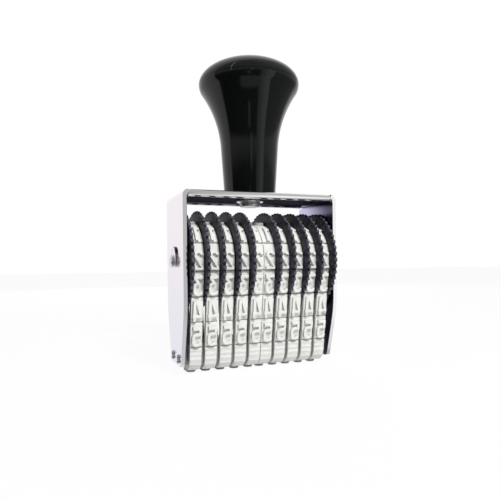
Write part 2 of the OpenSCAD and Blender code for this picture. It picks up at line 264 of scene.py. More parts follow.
def arc(middle, radius, start, end, steps):
    """Points on a circle's arc, as (across, up), angles in degrees from +across."""
    angles = [math.radians(start + (end - start) * i / steps) for i in range(steps + 1)]
    return [(middle[0] + radius * math.cos(a), middle[1] + radius * math.sin(a)) for a in angles]


# %% [markdown]
# A turned piece: its half outline is a list of (radius, height). The spin sweeps it once
# round the Z axis, the doubled seam is merged, and the normals are made to point outwards.
# Pieces that lie along the wheel axle are then tipped over so that their height runs
# along X.

# %% Turned pieces
AROUND = 96


def turned(name, outline, steps=AROUND):
    piece = chain(name, [(radius, 0, height) for radius, height in outline])
    edit_all()
    bpy.ops.mesh.spin(steps=steps, angle=2 * math.pi, center=(0, 0, 0), axis=(0, 0, 1))
    select_all()
    bpy.ops.mesh.remove_doubles(threshold=0.002 * MM)
    face_out()
    return piece


def lay_along_x(piece, x=0.0):
    """Tips a turned piece so that its height runs along X, on the wheel axle's line."""
    settle(piece, tipped((x, 0, AXLE_Z)))


# %% [markdown]
# The handle is a moulded knob of glossy black plastic in two parts: a hollow body with a
# slim neck, and a domed cap that closes it at its widest line. Both are turned pieces.
# The body's outline is a straight neck, one long hollow curve and a round shoulder. It is
# drawn from these arcs, and not sculpted, because a glossy surface shows every bump.
# A hair-thin chamfer on both rims leaves the fine seam line between them.

# %% Handle sizes
NECK_R = 6.95 * MM
NECK_H = 13.2 * MM
NECK_ANGLE = 3.7
FLARE_ANGLE = 34.5
FLARE_R = 29.3 * MM
SHOULDER_R = 4.0 * MM
DOME_H = 6.4 * MM
HANDLE_WALL = 2.0 * MM
BUSH_BORE = (3.25 * MM, 11.0 * MM)
SEAM = 0.07 * MM

flare_start = NECK_R + NECK_H * math.tan(math.radians(NECK_ANGLE))
flare_middle = (flare_start + FLARE_R * math.cos(math.radians(NECK_ANGLE)),
                NECK_H - FLARE_R * math.sin(math.radians(NECK_ANGLE)))
flare = arc(flare_middle, FLARE_R, 180 - NECK_ANGLE, 180 - FLARE_ANGLE, 28)
lean_in = math.radians(FLARE_ANGLE)
shoulder_middle = (flare[-1][0] - SHOULDER_R * math.cos(lean_in),
                   flare[-1][1] + SHOULDER_R * math.sin(lean_in))
shoulder = arc(shoulder_middle, SHOULDER_R, -FLARE_ANGLE, 0, 10)
KNOB_R, KNOB_H = shoulder[-1]
print("knob radius", round(KNOB_R / MM, 2), "mm at", round(KNOB_H / MM, 2), "mm above the bracket")

# %% Handle body and cap
foot_round = arc((NECK_R - 0.3 * MM, 0.3 * MM), 0.3 * MM, -90, 0, 4)
bore_r, bore_h = BUSH_BORE
inner_wall = [(radius - HANDLE_WALL, height) for radius, height in flare[10:] + shoulder[1:]]
body_outline = (
    [(0, bore_h), (bore_r, bore_h), (bore_r, 0)] + foot_round + flare + shoulder[1:-1]
    + [(KNOB_R, KNOB_H - SEAM), (KNOB_R - SEAM, KNOB_H)]
    + [(KNOB_R - HANDLE_WALL, KNOB_H)] + inner_wall[::-1]
    + [(0, inner_wall[0][1])])
knob_body = turned("knob_body", body_outline, steps=128)

PLUG_R = KNOB_R - HANDLE_WALL - 1.0 * MM
PLUG_DEEP = 2.4 * MM
dome = [(KNOB_R * across, KNOB_H + DOME_H * up) for across, up in arc((0, 0), 1, 0, 90, 30)]
cap_outline = (
    [(0, KNOB_H + DOME_H - 2 * MM)]
    + [((PLUG_R - 1.2 * MM) * across, KNOB_H + (DOME_H - 2 * MM) * up)
       for across, up in arc((0, 0), 1, 90, 0, 10)[1:]]
    + [(PLUG_R - 1.2 * MM, KNOB_H - PLUG_DEEP), (PLUG_R, KNOB_H - PLUG_DEEP), (PLUG_R, KNOB_H)]
    + [(KNOB_R - SEAM, KNOB_H), (KNOB_R, KNOB_H + SEAM)] + dome[1:])
knob_cap = turned("knob_cap", cap_outline, steps=128)
for piece in (knob_body, knob_cap):
    piece.location = (0, 0, BRIDGE_TOP)
    settle(piece)
    shade(piece, 40)
finish_piece(knob_body, "stamp", "handle_plastic", "handle_body")
finish_piece(knob_cap, "stamp", "handle_plastic", "handle_cap")

# %% [markdown]
# One strip of nickel-plated steel is bent into a bridge and two cheeks. It could be cut
# from boxes, but then the bends would be square. Here the strip is seen from the front as
# one open chain: up the left cheek, round the bend, over the bridge and down again. The
# chain is extruded to the strip's depth, and each row of a cheek is then scaled towards
# the middle, which gives the long taper and the round lower corners. A wall and soft
# edges come last.

# %% Bracket strip
DEPTH = BRACKET_SIZE.y
OUTER_X = BRACKET_SIZE.x / 2
BEND_R = 1.6 * MM
TAPER_LEAN = math.radians(16.7)
TAPER_R = 25.0 * MM
TAPER_START = 8.9 * MM
CORNER_R = 1.0 * MM
ROLL_R = 0.9 * MM

taper_middle = DEPTH / 2 - TAPER_R
corner_z = CHEEK_FOOT + CORNER_R
inner_r = TAPER_R - CORNER_R
straight = (AXLE_Z - TAPER_START - corner_z - inner_r * math.sin(TAPER_LEAN)) / math.cos(TAPER_LEAN)
corner_y = taper_middle + inner_r * math.cos(TAPER_LEAN) - straight * math.sin(TAPER_LEAN)


def half_depth(z):
    """Half the cheek's depth at a height."""
    under = AXLE_Z - TAPER_START - z
    curved = min(max(under, 0), TAPER_R * math.sin(TAPER_LEAN))
    tapered = taper_middle + math.sqrt(TAPER_R ** 2 - curved ** 2)
    if under > curved:
        tapered -= (under - curved) * math.tan(TAPER_LEAN)
    drop = corner_z - z
    if drop <= 0:
        return tapered
    return min(tapered, corner_y + math.sqrt(max(CORNER_R ** 2 - drop ** 2, 0)))


corner_rows = [corner_z - CORNER_R * math.cos(math.radians(a)) for a in range(0, 90, 9)]
cheek_rows = corner_rows + [corner_z + (AXLE_Z - TAPER_START - corner_z) * i / 12 for i in range(13)]
cheek_rows.append(BRIDGE_TOP - BEND_R)
bend = arc((OUTER_X - BEND_R, BRIDGE_TOP - BEND_R), BEND_R, 0, 90, 8)
right_half = [(OUTER_X, z) for z in cheek_rows[:-1]] + bend
section = [(-x, z) for x, z in right_half] + [(x, z) for x, z in right_half[::-1]]
bracket = chain("bent_bracket", [(x, -DEPTH / 2, z) for x, z in section])
edit_all()
push_out((0, DEPTH, 0))
leave_edit()
for row in cheek_rows[:-1]:
    share = half_depth(row) / (DEPTH / 2)
    pick(bracket, lambda co: abs(co.z - row) < 0.001 * MM)
    bpy.ops.transform.resize(value=(1, share, 1), center_override=(0, 0, 0))
    leave_edit()
ROLL_Y = DEPTH / 2 - ROLL_R
pick(bracket, lambda co: co.z > BRIDGE_TOP - 0.01 * MM)
bpy.ops.transform.resize(value=(1, ROLL_Y / (DEPTH / 2), 1), center_override=(0, 0, 0))
face_out()
modify(bracket, "SOLIDIFY", thickness=SHEET, offset=-1, use_even_offset=True)
print("bracket size", in_mm(bracket.dimensions))

# %% [markdown]
# The long edges of the bridge are rolled over into round lips. On the real strip they
# stiffen it, and they are the bright lines along the top. Each lip is a turned bar with
# round ends that lies along the edge. It is united with the strip by a Boolean, so the
# plating runs over both without a hidden seam. Round cutters then make the holes for the
# axle, the screw and the platen's tabs, and one Bevel takes the sharpness off every edge.

# %% Bracket lips, holes and edges
LIP_HALF = OUTER_X - BEND_R * 0.42
SEAT_PLAY = 0.03 * MM
STUD_R = 1.6 * MM
SHANK_R = 1.95 * MM
THROUGH = 60 * MM
TAB_Y, TAB_Z = 3.2 * MM, 3.9 * MM
TAB_W, TAB_H = 1.5 * MM, 2.4 * MM


def cut_piece(name, outline, push):
    """A closed outline in space, filled and extruded by the push."""
    piece = chain(name, list(outline) + [outline[0]])
    edit_all()
    bpy.ops.mesh.remove_doubles(threshold=0.001 * MM)
    bpy.ops.mesh.edge_face_add()
    select_all()
    push_out(push)
    face_out()
    return piece


def slot_outline(width, height, place):
    """An upright slot with round ends, in the plane across the axle."""
    x, y, z = place
    reach = (height - width) / 2
    upper = arc((y, z + reach), width / 2, 0, 180, 16)
    lower = arc((y, z - reach), width / 2, 180, 360, 16)
    return [(x, depth, up) for depth, up in upper + lower]


lip_end = arc((0, LIP_HALF - ROLL_R), ROLL_R, 90, 0, 8)
lip_outline = [(r, -h) for r, h in lip_end] + [(r, h) for r, h in lip_end[::-1]]
lip = turned("lip", lip_outline, steps=32)
for side in (-1, 1):
    bar = own_copy(lip, "lip_bar")
    settle(bar, tipped((0, side * ROLL_Y, BRIDGE_TOP - ROLL_R)))
    cut_away(bracket, [bar], "UNION")
discard(lip)


add_cylinder = bpy.ops.mesh.primitive_cylinder_add
bracket_cutters = [
    fresh(add_cylinder, vertices=64, radius=STUD_R + SEAT_PLAY, depth=THROUGH,
          location=(0, 0, AXLE_Z), rotation=(0, math.pi / 2, 0)),
    fresh(add_cylinder, vertices=64, radius=SHANK_R + SEAT_PLAY, depth=4 * MM,
          location=(0, 0, BRIDGE_TOP))]
for side in (-1, 1):
    slot = slot_outline(TAB_W + 2 * SEAT_PLAY, TAB_H + 2 * SEAT_PLAY,
                        (-THROUGH / 2, side * TAB_Y, TAB_Z))
    bracket_cutters.append(cut_piece("tab_slot", slot, (THROUGH, 0, 0)))
cut_away(bracket, bracket_cutters)
soften(bracket, 0.12 * MM)
shade(bracket, 30)
finish_piece(bracket, "stamp", "nickel_plate", "frame_bracket")

# %% [markdown]
# The axle is a bright steel bar. Its ends are turned down to thin studs that pass through
# the cheeks, and each stud has a groove for a clip. It is spun from its stepped outline,
# with a small chamfer at each end.

# %% Axle
AXLE_R = 2.5 * MM
GROOVE_R = 1.15 * MM
CLIP_T = 0.4 * MM
CLIP_GAP = 0.05 * MM
STUD_END = place_of("axle")[1].x / 2
INNER_X = OUTER_X - SHEET
CLIP_X = OUTER_X + CLIP_GAP + CLIP_T / 2
GROOVE_HALF = CLIP_T / 2 + SEAT_PLAY
CHAMFER = 0.25 * MM

axle_half = [
    (AXLE_R, 0), (AXLE_R, INNER_X - CHAMFER), (AXLE_R - CHAMFER, INNER_X), (STUD_R, INNER_X),
    (STUD_R, CLIP_X - GROOVE_HALF), (GROOVE_R, CLIP_X - GROOVE_HALF),
    (GROOVE_R, CLIP_X + GROOVE_HALF), (STUD_R, CLIP_X + GROOVE_HALF),
    (STUD_R, STUD_END - CHAMFER), (STUD_R - CHAMFER, STUD_END), (0, STUD_END)]
axle = turned("turned_axle", [(r, -h) for r, h in axle_half[::-1]] + axle_half[1:], steps=64)
lay_along_x(axle)
shade(axle, 30)
finish_piece(axle, "stamp", "bright_steel", "axle")

# %% [markdown]
# Each stud is held by a crescent clip, stamped from spring steel and pushed down onto the
# groove. It is cut as a flat outline: a big circle that sits high, a seat for the groove
# and a mouth that opens downwards. Its cut edges are duller than its faces, so each face
# of the mesh also stores how much of an edge it is.

# %% Crescent clips
CLIP_R = 2.65 * MM
CLIP_RISE = 1.2 * MM
SEAT_R = GROOVE_R + SEAT_PLAY
MOUTH = 0.85 * SEAT_R


def clip_outline(x):
    lower = math.degrees(math.asin(MOUTH / CLIP_R))
    inner = math.degrees(math.asin(MOUTH / SEAT_R))
    outer_arc = arc((0, CLIP_RISE), CLIP_R, -90 + lower, 270 - lower, 56)
    seat_arc = arc((0, 0), SEAT_R, 270 - inner, -90 + inner, 32)
    return [(x, y, AXLE_Z + up) for y, up in outer_arc + seat_arc]


for side, hand in ((-1, "left"), (1, "right")):
    outline = clip_outline(side * CLIP_X - CLIP_T / 2)
    clip = cut_piece(f"crescent_clip_{hand}", outline, (CLIP_T, 0, 0))
    soften(clip, 0.07 * MM)
    shade(clip, 30)
    cut_edge = clip.data.attributes.new("cut_edge", "FLOAT", "FACE")
    for polygon, level in zip(clip.data.polygons, cut_edge.data):
        level.value = 1 - abs(polygon.normal.x)
    finish_piece(clip, "stamp", "spring_steel", f"axle_clip_{hand}")

# %% [markdown]
# Plain washers are flat rings. The same small function makes the two that keep the wheels
# off the cheeks and the one under the screw's head.

# %% Washers
TURN_PLAY = 0.05 * MM


def ring(name, inner_r, outer_r, height, edge):
    outline = [
        (inner_r, edge), (inner_r + edge, 0), (outer_r - edge, 0), (outer_r, edge),
        (outer_r, height - edge), (outer_r - edge, height), (inner_r + edge, height),
        (inner_r, height - edge), (inner_r, edge)]
    return turned(name, outline, steps=64)


for hand in ("left", "right"):
    middle, size = place_of(f"side_washer_{hand}")
    washer = ring(f"thin_washer_{hand}", AXLE_R + TURN_PLAY, size.z / 2, size.x, 0.06 * MM)
    lay_along_x(washer, middle.x - size.x / 2)
    shade(washer, 30)
    finish_piece(washer, "stamp", "bright_steel", f"side_washer_{hand}")
SCREW_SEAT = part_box("screw_washer")[0][2]
middle, size = place_of("screw_washer")
thick_washer = ring("thick_washer", SHANK_R + SEAT_PLAY, size.x / 2, size.z, 0.15 * MM)
thick_washer.location = (0, 0, SCREW_SEAT)
settle(thick_washer)
shade(thick_washer, 30)
finish_piece(thick_washer, "stamp", "bright_steel", "screw_washer")

# %% [markdown]
# One slotted screw holds the knob on from below. Its head is a low cheese head with a
# rounded lower edge, and a straight slot is cut across it.

# %% Handle screw
HEAD_R = 2.8 * MM
HEAD_H = 1.3 * MM
HEAD_ROUND = 0.35 * MM
SHANK_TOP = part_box("handle_screw")[1][2]
head_low = SCREW_SEAT - HEAD_H
head_edge = arc((HEAD_R - HEAD_ROUND, head_low + HEAD_ROUND), HEAD_ROUND, -90, 0, 6)
screw = turned("slotted_screw", [(0, head_low)] + head_edge + [
    (HEAD_R, SCREW_SEAT), (SHANK_R, SCREW_SEAT), (SHANK_R, SHANK_TOP - CHAMFER),
    (SHANK_R - CHAMFER, SHANK_TOP), (0, SHANK_TOP)], steps=64)
SLOT_W, SLOT_DEPTH = 0.8 * MM, 0.6 * MM
slot_cutter = fresh(bpy.ops.mesh.primitive_cube_add, size=1, location=(0, 0, head_low),
                    scale=(8 * MM, SLOT_W, 2 * SLOT_DEPTH))
cut_away(screw, [slot_cutter])
soften(screw, 0.06 * MM, angle=50)
shade(screw, 30)
finish_piece(screw, "stamp", "bright_steel", "handle_screw")

# %% [markdown]
# The platen is a zinc casting that backs the rubber where it prints. Seen from the side
# it is a bar with round lower edges. Nine slots carry the bands, and eight thin fins
# between them keep the bands apart. The middle pair of bands has no fin between. Two tabs
# at each end pass through slots in the cheek and are riveted over outside it.

# %% Platen
FOOT_HALF = 2.6 * MM
FOOT_R = 2.0 * MM
PLATEN_H = 5.0 * MM
PLATEN_UNDER = 2.45 * MM
FIN_T = 0.6 * MM
FIN_OUT = 1.0 * MM
FIN_STEP = 0.5 * MM
TAB_OUT = 0.5 * MM
WHEEL_PITCH = BAND_X[1] - BAND_X[0]
BAR_HALF = 18.93 * MM


def platen_slice(name, x, width, grow, rise):
    """A slice of the platen's profile, grown outwards and raised."""
    foot_z = PLATEN_UNDER + FOOT_R
    top_z = PLATEN_UNDER + PLATEN_H + rise
    half = (arc((FOOT_HALF, foot_z), FOOT_R + grow, -90, 0, 12)
            + [(FOOT_HALF + FOOT_R + grow, top_z)])
    outline = half + [(-y, z) for y, z in half[::-1]]
    return cut_piece(name, [(x - width / 2, y, z) for y, z in outline], (width, 0, 0))


platen_parts = [platen_slice("platen_bar", 0, 2 * BAR_HALF, 0, 0)]
for step in range(1, 5):
    for side in (-1, 1):
        fin_x = side * (BAND_X[5] + (step - 0.5) * WHEEL_PITCH)
        platen_parts.append(platen_slice("platen_fin", fin_x, FIN_T, FIN_OUT, FIN_STEP))
end_width = INNER_X - BAR_HALF
for side in (-1, 1):
    end_x = side * (INNER_X - end_width / 2)
    platen_parts.append(platen_slice("platen_end", end_x, end_width + 0.02 * MM, 0, FIN_STEP))
    tab = slot_outline(TAB_W, TAB_H, (-OUTER_X - 0.1 * MM, side * TAB_Y, TAB_Z))
    platen_parts.append(cut_piece("platen_tab", tab, (2 * OUTER_X + 0.2 * MM, 0, 0)))
for part in platen_parts:
    soften(part, 0.12 * MM, angle=50)

# %% [markdown]
# A tab is riveted with a pointed punch, once near its top and once near its bottom. Each
# blow leaves a small round head with a dimple, so one head is turned and copied eight times.

# %% Staked ends of the tabs
STAKE_R = 0.65 * MM
DIMPLE_R, DIMPLE_DEEP = 0.36 * MM, 0.22 * MM
stake_outline = [
    (0, 0), (STAKE_R, 0), (STAKE_R, TAB_OUT - 0.15 * MM), (STAKE_R - 0.12 * MM, TAB_OUT),
    (DIMPLE_R, TAB_OUT), (0, TAB_OUT - DIMPLE_DEEP)]
stake = turned("stake", stake_outline, steps=32)
for end, side, step in itertools.product((-1, 1), (-1, 1), (-1, 1)):
    head = own_copy(stake, "stake_head")
    head_z = TAB_Z + step * (TAB_H / 2 - STAKE_R)
    settle(head, tipped((end * OUTER_X, side * TAB_Y, head_z), end * math.pi / 2))
    platen_parts.append(head)
discard(stake)
platen = join(platen_parts, "cast_platen")
shade(platen, 30)
finish_piece(platen, "stamp", "zinc_casting", "platen")

# %% [markdown]
# A thumb wheel is a drum for the band with a thin toothed rim on its outer side. It is
# built ring by ring from one circle: each ring is extruded from the last, moved and
# scaled. Where the rim stands, the vertices between the teeth are scaled inwards by their
# place on the tooth, which gives rounded teeth. Eight vertices a tooth are enough. One
# wheel is modelled and copied ten times, and those on the left are turned round so that
# their rim is outside too.

# %% Thumb wheel
TEETH = 48
PER_TOOTH = 8
DRUM_R = 8.1 * MM
DRUM_HALF = (BAND_W + 0.1 * MM) / 2
RIM_R = 13.1 * MM
TOOTH_H = 0.6 * MM
RIM_T = 0.72 * MM
BORE_R = 2.55 * MM
TOOTH_SHAPE = (1.0, 0.93, 0.6, 0.16, 0.0)
RIM_EDGE = 0.14 * MM
RIM_LOW, RIM_HIGH = DRUM_HALF, DRUM_HALF + RIM_T
TOOTH_ROOT = RIM_R - TOOTH_H - 0.4 * MM

wheel = fresh(bpy.ops.mesh.primitive_circle_add, vertices=TEETH * PER_TOOTH, radius=BORE_R,
              location=(0, 0, -DRUM_HALF))


def next_ring(radius, height, from_radius, from_height):
    """Extrudes the selected ring to a new radius and height."""
    bpy.ops.mesh.extrude_edges_move(
        TRANSFORM_OT_translate={"value": (0, 0, height - from_height)})
    scale = radius / from_radius
    bpy.ops.transform.resize(value=(scale, scale, 1), center_override=(0, 0, 0))


wheel_rings = [
    (BORE_R, -DRUM_HALF), (DRUM_R - 0.15 * MM, -DRUM_HALF), (DRUM_R, -DRUM_HALF + 0.15 * MM),
    (DRUM_R, RIM_LOW), (TOOTH_ROOT, RIM_LOW), (RIM_R - RIM_EDGE, RIM_LOW),
    (RIM_R, RIM_LOW + RIM_EDGE), (RIM_R, RIM_HIGH - RIM_EDGE), (RIM_R - RIM_EDGE, RIM_HIGH),
    (TOOTH_ROOT, RIM_HIGH), (BORE_R, RIM_HIGH)]
edit_all()
for (from_r, from_z), (ring_r, ring_z) in zip(wheel_rings, wheel_rings[1:]):
    next_ring(ring_r, ring_z, from_r, from_z)
bpy.ops.mesh.select_all(action="DESELECT")
bpy.ops.mesh.select_non_manifold()
bpy.ops.mesh.bridge_edge_loops()
leave_edit()

# %% Rounded teeth


def tooth_phase(co):
    """How many vertices away the nearest crest is, or None inside the teeth."""
    if math.hypot(co.x, co.y) < RIM_R - 2 * RIM_EDGE:
        return None
    place = round(math.atan2(co.y, co.x) / (2 * math.pi) * TEETH * PER_TOOTH) % PER_TOOTH
    return min(place, PER_TOOTH - place)


phases = [tooth_phase(vertex.co) for vertex in wheel.data.vertices]
for phase, share in enumerate(TOOTH_SHAPE):
    members = {tuple(v.co) for v, p in zip(wheel.data.vertices, phases) if p == phase}
    scale = 1 - TOOTH_H * (1 - share) / RIM_R
    pick(wheel, lambda co: tuple(co) in members)
    bpy.ops.transform.resize(value=(scale, scale, 1), center_override=(0, 0, 0))
    leave_edit()
edit_all()
face_out()
shade(wheel, 35)

for node, x in zip(WHEELS, BAND_X):
    turned_wheel = own_copy(wheel, f"thumb_{node}")
    settle(turned_wheel, tipped((x, 0, AXLE_Z), math.copysign(math.pi / 2, x)))
    finish_piece(turned_wheel, node, "wheel_plastic", node)
discard(wheel)

# %% [markdown]
# Each rubber band is a strap with fourteen blocks, and most blocks carry one raised
# figure. The blocks could be placed one by one round the loop, but then the rubber would
# not bend where it runs over the drum and the platen. So the band is made flat and
# straight first, as it is moulded, and a Curve modifier then lays it along the loop.
#
# The loop is three arcs joined by straight runs: over the drum, down to the platen, round
# its two lower edges and along its flat foot. It is drawn as a flat curve in its own plane.

# %% The loop that a band follows
BAND_T = 1.1 * MM
PAD_T = 0.5 * MM
RELIEF = 0.75 * MM
BAND_PLAY = 0.1 * MM
PAD_GAP = 0.4 * MM
BLOCKS = [6, None, 5, 4, 3, 2, 1, 0, None, None, None, 9, 8, 7]
TOP_R = DRUM_R + BAND_PLAY + BAND_T / 2
LOW_R = FOOT_R + BAND_PLAY + BAND_T / 2
LOW_Z = PLATEN_UNDER + FOOT_R
centre_run = math.hypot(FOOT_HALF, AXLE_Z - LOW_Z)
LEAN = math.degrees(math.asin((TOP_R - LOW_R) / centre_run) - math.atan(FOOT_HALF / (AXLE_Z - LOW_Z)))

# Half the loop, from the foot's middle round the back and up to the top
back_half = ([(0, LOW_Z - LOW_R)]
             + arc((FOOT_HALF, LOW_Z), LOW_R, -90, -LEAN, 32)
             + arc((0, AXLE_Z), TOP_R, -LEAN, 90, 90))
loop = back_half[::-1] + [(-y, z) for y, z in back_half[1:]]
loop_lengths = [math.dist(a, b) for a, b in zip(loop, loop[1:])]
LOOP = sum(loop_lengths)
PITCH = LOOP / len(BLOCKS)
print("loop length", round(LOOP / MM, 3), "mm, block pitch", round(PITCH / MM, 3), "mm")

# %% [markdown]
# The figures stand 5 mm high, bold and simple, as on any such stamp. Each one is drawn as
# closed outlines from straight lines and arcs, upright and right-reading first. The
# outlines are filled, and the counters inside stay open because fill leaves them out.
# The flat shape is then raised by an inset that also draws its face in a little, because
# a rubber figure needs sloping walls to leave its mould. Its upper edges are rounded, and
# it is mirrored, so that it prints the right way round.

# %% Outlines of the figures
DRAFT = 0.08
FIGURE_H = 5.0 + 2 * DRAFT
FIGURE_W = 2.4 + 2 * DRAFT
STROKE = 0.7 + 2 * DRAFT
TOP_BAR = 0.84 + 2 * DRAFT
HALF_W = FIGURE_W / 2
HALF_H = FIGURE_H / 2
IN_R = HALF_W - STROKE
BOWL_TOP = 3.4 + 2 * DRAFT - HALF_H
BOWL = (0, BOWL_TOP - HALF_W)
LOW = (0, -HALF_H + HALF_W)
TOP = (0, HALF_H - HALF_W)


def pill(bottom, top, radius, steps=12):
    """An upright pill between two heights."""
    return (arc((0, top - radius), radius, 0, 180, steps)
            + arc((0, bottom + radius), radius, 180, 360, steps))


def open_bowl(start, steps):
    """The lower bowl that the figures 3 and 5 share."""
    return (arc(BOWL, HALF_W, start, 0, steps) + arc(LOW, HALF_W, 0, -180, 16)
            + arc(LOW, IN_R, -180, 0, 12) + arc(BOWL, IN_R, 0, 90, 6))


def zero():
    return [pill(-HALF_H, HALF_H, HALF_W), pill(-HALF_H + STROKE, HALF_H - STROKE, IN_R)]


def one():
    side = STROKE / 2
    return [[(-side, -HALF_H), (side, -HALF_H), (side, HALF_H), (-0.2, HALF_H),
             (-1.2, HALF_H - 1.15), (-0.75, HALF_H - 1.75), (-side, HALF_H - 1.5)]]


def two():
    return [[(-HALF_W, -HALF_H), (HALF_W, -HALF_H), (HALF_W, -HALF_H + STROKE),
             (-0.55, -HALF_H + STROKE)]
            + arc(TOP, HALF_W, -12, 180, 16) + arc(TOP, IN_R, 180, -8, 12)
            + [(-HALF_W, -HALF_H + STROKE * 0.9)]]


def three():
    return [[(-HALF_W, HALF_H), (HALF_W, HALF_H), (HALF_W, HALF_H - TOP_BAR)]
            + open_bowl(66, 6)
            + [(-0.45, BOWL_TOP - STROKE), (-0.45, BOWL_TOP - 0.12), (0.05, HALF_H - TOP_BAR),
               (-HALF_W, HALF_H - TOP_BAR)]]


def four():
    bar_low = 0.9 - HALF_H
    bar_top = bar_low + STROKE
    stem = HALF_W - 0.15 - STROKE
    stem_right = stem + STROKE
    return [[(stem, -HALF_H), (stem_right, -HALF_H), (stem_right, bar_low), (HALF_W, bar_low),
             (HALF_W, bar_top), (stem_right, bar_top), (stem_right, HALF_H), (stem - 0.05, HALF_H),
             (-HALF_W, bar_low + STROKE * 0.9), (-HALF_W, bar_low), (stem, bar_low)],
            [(stem, bar_top), (stem - 0.69, bar_top), (stem, HALF_H - 1.1)]]


def five():
    stem_right = -HALF_W + STROKE * 0.9
    return [[(-HALF_W, HALF_H), (HALF_W - 0.2, HALF_H), (HALF_W - 0.3, HALF_H - TOP_BAR),
             (stem_right, HALF_H - TOP_BAR), (stem_right, BOWL_TOP)]
            + open_bowl(86, 9) + [(-0.45, BOWL_TOP - STROKE), (-HALF_W, BOWL_TOP - STROKE * 0.9)]]


def six():
    return [arc(TOP, HALF_W, 0, 180, 14) + arc(LOW, HALF_W, 180, 360, 14)
            + arc(BOWL, HALF_W, 0, 100, 9) + [(-IN_R, BOWL_TOP)] + arc(TOP, IN_R, 180, 0, 10),
            pill(-HALF_H + STROKE, BOWL_TOP - STROKE, IN_R)]


def seven():
    return [[(-HALF_W, HALF_H), (HALF_W, HALF_H), (HALF_W, HALF_H - STROKE),
             (0.25, -HALF_H), (-0.7, -HALF_H), (0.35, HALF_H - STROKE), (-HALF_W, HALF_H - STROKE)]]


def eight():
    shift = HALF_H - HALF_W
    waist = STROKE / 2 - HALF_W
    dip = math.degrees(math.asin(-waist / HALF_W))
    right = (arc((0, -shift), HALF_W, -90, 0, 8) + arc((0, waist), HALF_W, 0, dip, 4)
             + arc((0, -waist), HALF_W, -dip, 0, 4)[1:] + arc((0, shift), HALF_W, 0, 90, 8))
    return [right + [(-u, v) for u, v in right[::-1]][1:-1],
            pill(STROKE / 2, HALF_H - STROKE, IN_R), pill(-HALF_H + STROKE, -STROKE / 2, IN_R)]


def nine():
    return [[(-u, -v) for u, v in outline] for outline in six()]


OUTLINES = (zero, one, two, three, four, five, six, seven, eight, nine)
ROOT = 0.1 * MM
PAD_TOP = BAND_T / 2 + PAD_T


def raised_figure(number):
    """A solid figure on the flat band: its top points along +X and its face is up in Y."""
    loops = []
    for outline in OUTLINES[number]():
        points = [(v * MM, PAD_TOP - ROOT, -u * MM) for u, v in outline]
        loops.append(chain("figure", points + [points[0]]))
    figure = join(loops, f"figure_{number}")
    edit_all()
    bpy.ops.mesh.remove_doubles(threshold=0.005 * MM)
    select_all()
    bpy.ops.mesh.fill()
    select_all()
    push_out((0, ROOT, 0))
    face_out()
    pick(figure, lambda co: co.y > PAD_TOP - ROOT / 2)
    bpy.ops.mesh.inset(thickness=DRAFT * MM, depth=RELIEF, use_even_offset=True)
    leave_edit()
    soften(figure, 0.07 * MM, segments=2, angle=40)
    return figure


figures = [raised_figure(number) for number in range(10)]
for figure in figures:
    print(figure.name, in_mm(figure.dimensions), len(figure.data.polygons))

# %% [markdown]
# The flat band is a side view with its blocks and grooves, filled and pushed out to the
# band's width. It starts and ends in a groove on the back run. Five fine ribs cross each
# plain block. The strap is drawn a little too long, and both ends are cut square after
# the edges are rounded, so they meet without a mark when the loop is closed.

# %% Flat band
RIBS = 5
RIB_W, RIB_H = 0.5 * MM, 0.07 * MM
SPARE = 1 * MM
START = 2.5
BLOCK_LEN = PITCH - PAD_GAP
DRUM_HALF_RUN = TOP_R * math.radians(90 + LEAN)


def block_middle(index):
    """How far along the flat band a block's middle lies."""
    return ((index + START) % len(BLOCKS)) * PITCH


def figure_scale(index):
    """A figure over the drum is drawn shorter, because the bend will stretch it."""
    from_top = abs(block_middle(index) - (START * PITCH + LOOP / 2))
    return TOP_R / (TOP_R + BAND_T / 2 + PAD_T + RELIEF) if from_top < DRUM_HALF_RUN else 1


def cut_across(x, outwards=1, clear_outer=False):
    """Cuts the active piece's mesh across at x."""
    edit_all()
    bpy.ops.mesh.bisect(plane_co=(x, 0, 0), plane_no=(outwards, 0, 0), clear_outer=clear_outer)
    leave_edit()


outer_side = [(-SPARE, BAND_T / 2)]
for place in range(len(BLOCKS)):
    index = (place - int(START)) % len(BLOCKS)
    start = block_middle(index) - BLOCK_LEN / 2
    end = start + BLOCK_LEN
    outer_side += [(start, BAND_T / 2), (start, PAD_TOP)]
    if BLOCKS[index] is None:
        for rib in range(RIBS):
            middle = start + (rib + 0.5) * BLOCK_LEN / RIBS
            outer_side += [(middle - RIB_W / 2, PAD_TOP), (middle - RIB_W / 2, PAD_TOP + RIB_H),
                           (middle + RIB_W / 2, PAD_TOP + RIB_H), (middle + RIB_W / 2, PAD_TOP)]
    outer_side += [(end, PAD_TOP), (end, BAND_T / 2)]
outer_side += [(LOOP + SPARE, BAND_T / 2), (LOOP + SPARE, -BAND_T / 2), (-SPARE, -BAND_T / 2)]
print("blocks from", round(outer_side[1][0] / MM, 2), "to", round(outer_side[-4][0] / MM, 2), "mm")

flat_band = cut_piece("band", [(x, y, -BAND_W / 2) for x, y in outer_side], (0, 0, BAND_W))
soften(flat_band, 0.08 * MM)
cut_across(0, -1, clear_outer=True)
cut_across(LOOP, 1, clear_outer=True)
band_parts = [flat_band]
for index, number in enumerate(BLOCKS):
    if number is not None:
        figure = own_copy(figures[number], "figure")
        scale = figure_scale(index)
        figure.scale = (scale, 1, 1)
        foot = HALF_H * MM * scale + 0.02 * MM
        figure.location = (block_middle(index) - BLOCK_LEN / 2 + foot, 0, 0)
        settle(figure)
        band_parts.append(figure)
for figure in figures:
    discard(figure)
flat_band = join(band_parts, "band")
print("flat band", in_mm(flat_band.dimensions), "mm")

# %% [markdown]
# Bending only moves vertices, so long faces have to be cut across first wherever the loop
# is curved: about every 0.6 mm over the drum, and twice as often round the platen's tight
# edges. The height above the block is stored on each vertex while the band is still flat.
# The rubber's colour uses it later.

